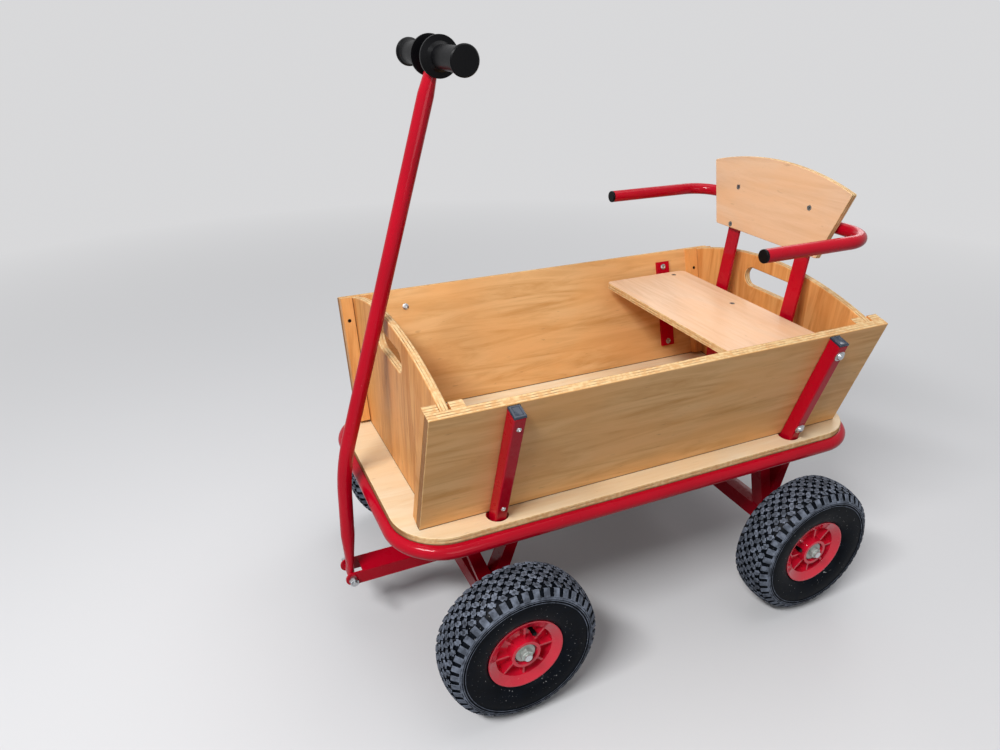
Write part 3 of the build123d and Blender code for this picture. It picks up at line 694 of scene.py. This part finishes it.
class WAGON_OT_finishes(Operator):
    """Makes the paint, varnish, rubber, zinc and plastic, and puts them on the built pieces"""

    bl_idname = "wagon.finishes"
    bl_label = "Finishes"

    def execute(self, context):
        colours = context.scene.wagon_colours
        MATERIALS.update(
            black=moulded("black_satin_plastic", colours.plastic, 0.36),
            # The plugs' blue tint is a painted reflection of the sky
            plug=moulded("blue_black_plug", PLUG_PAINTED_SKY_BLUE, 0.2, 0.5),
            zinc=bright_zinc("zinc_plate", colours.zinc),
            dull=bright_zinc("dull_zinc", colours.dull, 0.5, 0.55),
            screw=bright_zinc("dark_screw", colours.screw),
            wall=rubber("tyre_side_wall", colours.rubber, 0.40, 0.6, 1.3),
            tread=rubber("tyre_tread", colours.tread, 0.50, 0.25, 1.7),
        )
        axle_paint = gloss_paint("red_axle_zinc_pins", colours.red, bare_from=PIN_FOOT_Y)
        paint_nodes(gloss_paint("red_powder_coat", colours.red), *RED_NODES)
        paint_nodes(axle_paint, "front_axle", "rear_axle")
        for name, layout, tone, figure, nodes in BOARDS:
            pale, dark = getattr(colours, tone), getattr(colours, tone + "_dark")
            paint_nodes(plywood(name, layout, pale, dark, figure, colours), *nodes)
        paint_nodes(MATERIALS["black"], "arm_caps", "grips", "handle_crossbar", "stake_caps")
        paint_nodes(MATERIALS["zinc"], "steering_plate", "pivot_bolt", *["hub_" + c for c in CORNERS])
        # The rim colour carries a painted broad sheen as well as the plastic's red
        paint_nodes(gloss_paint("red_moulded_rim", colours.rim, 0.22, 1.0), *["rim_" + c for c in CORNERS])
        paint_nodes(MATERIALS["wall"], *["tyre_" + c for c in CORNERS])
        return {"FINISHED"}


def crown_radius(across):
    """Radius of the tread's outer face at a distance across the tyre."""
    return TYRE_R - CROWN_GAP - CROWN_DROP * (across / CROWN_HALF) ** 2


def add_block(across, radius, tilt, turn, size, angle):
    """Adds one tread block in edit mode, round the axle by an angle from the top."""
    length, width, deep = size
    lay = Matrix.Rotation(angle, 4, "Y")
    lay = lay @ Matrix.Translation((0, across, radius)) @ Matrix.Rotation(-tilt, 4, "X")
    lay = lay @ Matrix.Rotation(turn, 4, "Z") @ Matrix.Translation((0, 0, -deep / 2))
    bpy.ops.mesh.primitive_cube_add(
        size=1, location=lay.to_translation(), rotation=lay.to_euler(), scale=(length, width, deep))


def faces_outward(middle, normal):
    return normal.dot(Vector((middle.x, 0, middle.z)).normalized()) > 0.5


def tread_pattern(sizes):
    """One tyre's tread about the origin: staggered rows of crossed blocks, and lugs on both shoulders."""
    group = tau / sizes.tread_groups
    deselect()
    bpy.ops.mesh.primitive_plane_add(size=MM)
    piece = bpy.context.active_object
    bpy.ops.object.mode_set(mode="EDIT")
    bpy.ops.mesh.select_all(action="SELECT")
    bpy.ops.mesh.delete(type="VERT")
    side, deep = sizes.tread_block, sizes.tread_deep
    bar = (side * BAR_LONG, side * BAR_WIDE, deep)
    arm = (side * ARM_LONG, side * BAR_WIDE, deep - ARM_DROP)
    for row in range(sizes.tread_rows):
        across = (row - (sizes.tread_rows - 1) / 2) * ROW_SPACING
        tilt = atan2(2 * CROWN_DROP * across, CROWN_HALF ** 2)
        radius = crown_radius(across)
        turn = BAR_TURN if row % 2 else -BAR_TURN
        for n in range(2):
            angle = group / 2 * (n + 0.5 * (row % 2))
            add_block(across, radius, tilt, turn, bar, angle)
            add_block(across, radius, tilt, turn + ARM_TURN, arm, angle)
    lug = (sizes.lug_wide, LUG_LONG, deep)
    for hand in (-1, 1):
        for n in range(2):
            angle = group / 2 * (n + 0.25)
            add_block(hand * LUG_ACROSS, LUG_R, hand * LUG_TILT, 0, lug, angle)
    pick_faces(faces_outward)
    bpy.ops.mesh.bevel(offset=BLOCK_BEVEL, segments=1, affect="EDGES")
    bpy.ops.mesh.select_all(action="SELECT")
    copies = sizes.tread_groups - 1
    bpy.ops.mesh.spin(steps=copies, dupli=True, angle=group * copies, center=(0, 0, 0), axis=(0, 1, 0))
    bpy.ops.object.mode_set(mode="OBJECT")
    smooth(piece, 25)
    return piece


class WAGON_OT_tyres(Operator):
    """Turns one tyre, lays its tread and copies it to the four wheels"""

    bl_idname = "wagon.tyres"
    bl_label = "Tyres"

    def execute(self, context):
        sizes = context.scene.wagon_sizes
        half = in_metres(CARCASS)
        outline = half + [(-across, radius) for across, radius in reversed(half[:-1])]
        carcass = turned("carcass", outline, (0, 0, 0), (0, 1, 0), sizes.carcass_steps, closed=True)
        carcass.data.materials.append(MATERIALS["wall"])
        carcass.data.materials.append(MATERIALS["tread"])
        # Faces on the ridge rings take the paler tread rubber
        for face in carcass.data.polygons:
            reach = hypot(face.center.x, face.center.z)
            on_pale_ridge = any(low < reach < high for low, high in PALE_RIDGE_RINGS)
            face.material_index = int(on_pale_ridge)
        tread = tread_pattern(sizes)
        tread.data.materials.append(MATERIALS["tread"])
        tread.data.materials.append(MATERIALS["wall"])
        for face in tread.data.polygons:
            spoke = Vector((face.center.x, 0, face.center.z)).normalized()
            flank = face.normal.dot(spoke) < 0.45
            face.material_index = int(flank)
        pattern = joined([carcass, tread], "tyre_pattern")
        for corner in CORNERS:
            tyre = moved_copy(pattern, WHEEL_CENTRE[corner], "tread_" + corner)
            dressed(tyre, None, "wheel_" + corner, "tyre_rubber", "tyre_" + corner)
        choose(pattern)
        bpy.ops.object.delete()
        return {"FINISHED"}


class WAGON_OT_wheel_fittings(Operator):
    """Adds the wheel washers, each with a thin black ring behind it as painted shade of the gap, the nuts,
    the axle ends and the valves
    """

    bl_idname = "wagon.wheel_fittings"
    bl_label = "Wheel fittings"

    def execute(self, context):
        radius = context.scene.wagon_sizes.washer_radius / MM
        face = radius - 0.5
        washer = [(0.2, 0.0), (0.2, face), (0.6, radius), (1.8, radius), (2.2, face), (2.2, 0.0)]
        for corner in CORNERS:
            end, hand = corner.split("_")
            out = 1 if hand == "left" else -1
            axle = (0, out, 0)
            centre = WHEEL_CENTRE[corner]
            wheel = "wheel_" + corner
            # Thin black ring at the hub's face: painted shade in the gap behind the washer
            ring = in_metres(GAP_SHADE_RING, HUB_FACE)
            gap_shade = turned("seal_" + corner, ring, centre, axle, WASHER_ROUND, closed=True)
            dressed(gap_shade, MATERIALS["black"], wheel, "black_plastic")
            parts = []
            for outline, steps in ((washer, WASHER_ROUND), (WHEEL_NUT, HEXAGON), (PIN_TIP, TIP_ROUND)):
                parts.append(turned("fitting", in_metres(outline, HUB_FACE), centre, axle, steps))
            nuts = joined(parts, "axle_nut_" + corner)
            dressed(nuts, MATERIALS["dull"], PIN_BODY[end], "zinc_steel")
            turn = VALVE_TURN[corner]
            foot = centre + Vector((VALVE_R * sin(turn), out * VALVE_FOOT, VALVE_R * cos(turn)))
            valve = turned("valve_" + corner, in_metres(VALVE), foot, axle, SMALL_ROUND)
            dressed(valve, MATERIALS["black"], wheel, "black_plastic")
        return {"FINISHED"}


class WAGON_OT_pivot_nuts(Operator):
    """Adds the hexagon head and the nut on the handle's cross bolt"""

    bl_idname = "wagon.pivot_nuts"
    bl_label = "Pivot nuts"

    def execute(self, context):
        low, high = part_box("pivot_bolt")
        middle, half = (low + high) / 2, (high.y - low.y) / 2
        ends = ((-1, BOLT_HEX, HEXAGON), (1, BOLT_HEX, HEXAGON), (1, BOLT_TIP, TIP_ROUND))
        parts = []
        for out, outline, steps in ends:
            parts.append(turned("fitting", in_metres(outline, half), middle, (0, out, 0), steps))
        nuts = joined(parts, "pivot_nuts")
        dressed(nuts, MATERIALS["zinc"], "steering", "zinc_steel")
        return {"FINISHED"}


def turned_up(name, outline, steps=SMALL_ROUND):
    """Turns a head about +Z, on the face that it sits on."""
    return turned(name, outline, (0, 0, 0), (0, 0, 1), steps)


def domed_bolt(name, radius):
    """A washer and a domed bolt head."""
    wide = radius * 1.4
    return turned_up(name, [
        (0, 0),
        (0, wide),
        (1.4 * MM, wide),
        (1.6 * MM, wide - 0.4 * MM),
        (1.6 * MM, radius),
        (3.0 * MM, 0.97 * radius),
        (4.6 * MM, 0.80 * radius),
        (5.8 * MM, 0.52 * radius),
        (6.3 * MM, 0),
    ], BOLT_ROUND)


def pan_screw(name, radius):
    """A pan head with a driver recess."""
    return turned_up(name, [
        (0, 0),
        (0, radius),
        (1.2 * MM, 0.96 * radius),
        (2.0 * MM, 0.74 * radius),
        (2.3 * MM, 0.48 * radius),
        (1.3 * MM, 0.36 * radius),
        (1.1 * MM, 0),
    ])


def sunk_screw(name, radius):
    """A countersunk head with a driver recess, just proud of the board."""
    return turned_up(name, [
        (-0.6 * MM, 0),
        (-0.6 * MM, radius),
        (0.2 * MM, 1.06 * radius),
        (0.2 * MM, 0.94 * radius),
        (0.06 * MM, 0.84 * radius),
        (0.3 * MM, 0.50 * radius),
        (0.3 * MM, 0.40 * radius),
        (0.06 * MM, 0.36 * radius),
        (0.06 * MM, 0),
    ])


def shade_disc(name, radius):
    """A black disc just proud of the board, as painted shade: used for the mouth of a screw hole and for a
    screw's driver recess.
    """
    return turned_up(name, [
        (-0.5 * MM, 0),
        (-0.5 * MM, radius),
        (0.12 * MM, radius),
        (0.12 * MM, 0.85 * radius),
        (0.06 * MM, 0.8 * radius),
        (0.06 * MM, 0),
    ])


class WAGON_OT_box_bolts(Operator):
    """Adds the bolts, nuts and screws of the stakes and strips, and black discs of painted shade in the
    battens' screw holes
    """

    bl_idname = "wagon.box_bolts"
    bl_label = "Box bolts"

    def execute(self, context):
        sizes = context.scene.wagon_sizes
        zinc = MATERIALS["zinc"]
        front, rear, inner, holes = [], [], [], []
        for side in (-1, 1):
            out = slope_normal(side)
            for up in STAKE_BOLTS:
                front.append((on_board(side, STAKE_X, up, STAKE_DEEP), out))
                rear.append((on_board(side, -STAKE_X, up, STAKE_DEEP), out))
            for up in STRIP_BOLTS:
                inner.append((on_board(side, -STAKE_X, up, -SIDE_THICK - STRIP_THICK), -out))
            for up in FRONT_NUTS:
                inner.append((on_board(side, STAKE_X, up, -SIDE_THICK), -out))
            for end in (-1, 1):
                for x in BATTEN_X:
                    for up in BATTEN_SCREWS:
                        holes.append((on_board(side, end * x, up, -BATTEN_FACE), -out))
        screws = set_out(pan_screw("screw", sizes.screw_radius), front, "stake_screws")
        dressed(screws, zinc, "chassis", "zinc_steel")
        bolts = set_out(domed_bolt("bolt", sizes.bolt_radius), rear, "stake_bolts")
        dressed(bolts, zinc, "chassis", "zinc_steel")
        nuts = set_out(pan_screw("nut", sizes.bolt_radius * NUT_SHARE), inner, "box_nuts")
        dressed(nuts, zinc, "chassis", "zinc_steel")
        # Black discs on the battens' inner faces: painted shade in the screw holes
        hole_shade = set_out(shade_disc("hole", BATTEN_HOLE_R), holes, "batten_screws")
        dressed(hole_shade, MATERIALS["black"], "chassis", "zinc_steel")
        return {"FINISHED"}


class WAGON_OT_seat_screws(Operator):
    """Adds the countersunk screws of the seat and the backrest"""

    bl_idname = "wagon.seat_screws"
    bl_label = "Seat screws"

    def execute(self, context):
        lean = atan2(BACK_LEAN, 1)
        normal = Vector((cos(lean), 0, sin(lean)))
        up = Vector((-sin(lean), 0, cos(lean)))
        foot = Vector((MID_X + BAR_FACE_X, 0, BAR_BEND_Z)) + normal * BACKREST_THICK
        heads = [((MID_X + SEAT_SCREW_X, y, SEAT_TOP), (0, 0, 1)) for y in SEAT_SCREW_Y]
        for y in (-BAR_Y, BAR_Y):
            for high in BACK_SCREW_Z:
                heads.append((foot + Vector((0, y, 0)) + up * ((high - BAR_BEND_Z) / cos(lean)), normal))
        screws = set_out(sunk_screw("screw", SEAT_SCREW_R), heads, "seat_screws")
        dressed(screws, MATERIALS["screw"], "chassis", "zinc_steel")
        # Black discs in the screw heads: painted shade of the driver recesses
        drive_shade = set_out(shade_disc("drive", SCREW_DRIVE_R), heads, "seat_screw_drives")
        dressed(drive_shade, MATERIALS["black"], "chassis", "zinc_steel")
        return {"FINISHED"}


class WAGON_OT_stake_plugs(Operator):
    """Models one moulded plug and sets it in the top of each stake"""

    bl_idname = "wagon.stake_plugs"
    bl_label = "Stake plugs"

    def execute(self, context):
        gap = 0.05 * MM
        high = 4.0 * MM
        smaller = 0.8 * MM
        slope_wide = 1.6 * MM
        land_wide = 2.2 * MM
        step = 0.5 * MM
        edge = 0.45 * MM
        deselect()
        bpy.ops.mesh.primitive_cube_add(size=1, location=(0, 0, high / 2))
        plug = bpy.context.active_object
        plug.scale = (STAKE_WIDE - smaller, STAKE_DEEP - smaller, high)
        place_applied(plug)
        bpy.ops.object.mode_set(mode="EDIT")
        pick_faces(lambda middle, normal: normal.z > 0.9)
        bpy.ops.mesh.inset(thickness=slope_wide)
        bpy.ops.transform.translate(value=(0, 0, step))
        bpy.ops.mesh.inset(thickness=land_wide)
        bpy.ops.mesh.extrude_region_move(TRANSFORM_OT_translate={"value": (0, 0, -step)})
        bpy.ops.mesh.select_all(action="SELECT")
        bpy.ops.mesh.bevel(offset=edge, segments=2, affect="EDGES")
        bpy.ops.object.mode_set(mode="OBJECT")
        smooth(plug, 50)
        tops = []
        for side in (-1, 1):
            up = slope_up(side)
            ahead = Vector((1, 0, 0))
            turn = Matrix((ahead, up.cross(ahead), up)).transposed().to_4x4()
            for x in (-STAKE_X, STAKE_X):
                top = on_board(side, x, STAKE_TOP + gap, STAKE_DEEP / 2)
                tops.append(Matrix.Translation(top) @ turn)
        plugs = copied_to(plug, tops, "stake_plugs")
        dressed(plugs, MATERIALS["plug"], "chassis", "black_plastic", "stake_caps")
        return {"FINISHED"}


def soft_lamp(name, place, aim, size, power):
    """Hangs a soft rectangular lamp that looks at a point."""
    deselect()
    bpy.ops.object.light_add(type="AREA", location=place)
    lamp = bpy.context.active_object
    lamp.name = name
    lamp.data.name = name
    lamp.data.shape = "RECTANGLE"
    lamp.data.size, lamp.data.size_y = size
    lamp.data.energy = power
    lamp.rotation_euler = (Vector(aim) - Vector(place)).to_track_quat("-Z", "Y").to_euler()


def studio_world():
    """A pale background for the camera and for reflections, and a softer light on the wagon."""
    world = bpy.data.worlds.new("studio")
    world.use_nodes = True
    tree = world.node_tree
    light = tree.nodes["Background"]
    light.inputs["Color"].default_value = (*SKY, 1)
    light.inputs["Strength"].default_value = SKY_STRENGTH
    seen = tree.nodes.new("ShaderNodeBackground")
    seen.inputs["Color"].default_value = (*PALE, 1)
    seen.inputs["Strength"].default_value = 1.0
    path = tree.nodes.new("ShaderNodeLightPath")
    shown = path.outputs["Is Camera Ray"]
    for other in ("Is Glossy Ray", "Is Transmission Ray"):
        most = tree.nodes.new("ShaderNodeMath")
        most.operation = "MAXIMUM"
        tree.links.new(shown, most.inputs[0])
        tree.links.new(path.outputs[other], most.inputs[1])
        shown = most.outputs[0]
    mix = tree.nodes.new("ShaderNodeMixShader")
    tree.links.new(shown, mix.inputs[0])
    tree.links.new(light.outputs[0], mix.inputs[1])
    tree.links.new(seen.outputs[0], mix.inputs[2])
    tree.links.new(mix.outputs[0], tree.nodes["World Output"].inputs[0])
    return world


class WAGON_OT_stage(Operator):
    """Lays the floor, hangs the soft lamps and stands the camera"""

    bl_idname = "wagon.stage"
    bl_label = "Stage"

    def execute(self, context):
        deselect()
        bpy.ops.mesh.primitive_plane_add(size=FLOOR_SIZE, location=(0, 0, 0))
        floor = named(context.active_object, "floor")
        bpy.ops.object.mode_set(mode="EDIT")
        bpy.ops.mesh.subdivide(number_cuts=FLOOR_CUTS)
        bpy.ops.object.mode_set(mode="OBJECT")
        floor.data.materials.append(floor_finish(context.scene.wagon_colours))
        for lamp in LAMPS:
            soft_lamp(*lamp)
        context.scene.world = studio_world()
        bpy.ops.object.camera_add(location=CAMERA_PLACE)
        camera = context.active_object
        camera.name = "camera"
        camera.data.sensor_width = SENSOR_WIDE
        camera.data.lens = CAMERA_FOCUS * SENSOR_WIDE / PICTURE_WIDE
        camera.rotation_euler = (CAMERA_AIM - CAMERA_PLACE).to_track_quat("-Z", "Y").to_euler()
        camera.rotation_euler.rotate_axis("Z", CAMERA_ROLL)
        context.scene.camera = camera
        context.scene.view_settings.view_transform = "Standard"
        return {"FINISHED"}


STEPS = (
    WAGON_OT_finishes,
    WAGON_OT_tyres,
    WAGON_OT_wheel_fittings,
    WAGON_OT_pivot_nuts,
    WAGON_OT_box_bolts,
    WAGON_OT_seat_screws,
    WAGON_OT_stake_plugs,
    WAGON_OT_stage,
)


class WAGON_PT_panel(Panel):
    """Lists the steps that dress the wagon"""

    bl_idname = "WAGON_PT_panel"
    bl_label = "Pull wagon"
    bl_space_type = "VIEW_3D"
    bl_region_type = "UI"
    bl_category = "Wagon"

    def draw(self, context):
        for step in STEPS:
            self.layout.operator(step.bl_idname)
        for group in (context.scene.wagon_sizes, context.scene.wagon_colours):
            for key in group.bl_rna.properties.keys():
                if key not in ("rna_type", "name"):
                    self.layout.prop(group, key)


CLASSES = (WagonSizes, WagonColours, *STEPS, WAGON_PT_panel)


def register():
    for each in CLASSES:
        bpy.utils.register_class(each)
    bpy.types.Scene.wagon_sizes = PointerProperty(type=WagonSizes)
    bpy.types.Scene.wagon_colours = PointerProperty(type=WagonColours)


def unregister():
    del bpy.types.Scene.wagon_colours
    del bpy.types.Scene.wagon_sizes
    for each in reversed(CLASSES):
        bpy.utils.unregister_class(each)


def main():
    register()
    bpy.ops.wagon.finishes()
    bpy.ops.wagon.tyres()
    bpy.ops.wagon.wheel_fittings()
    bpy.ops.wagon.pivot_nuts()
    bpy.ops.wagon.box_bolts()
    bpy.ops.wagon.seat_screws()
    bpy.ops.wagon.stake_plugs()
    bpy.ops.wagon.stage()


if __name__ == "__main__":
    main()
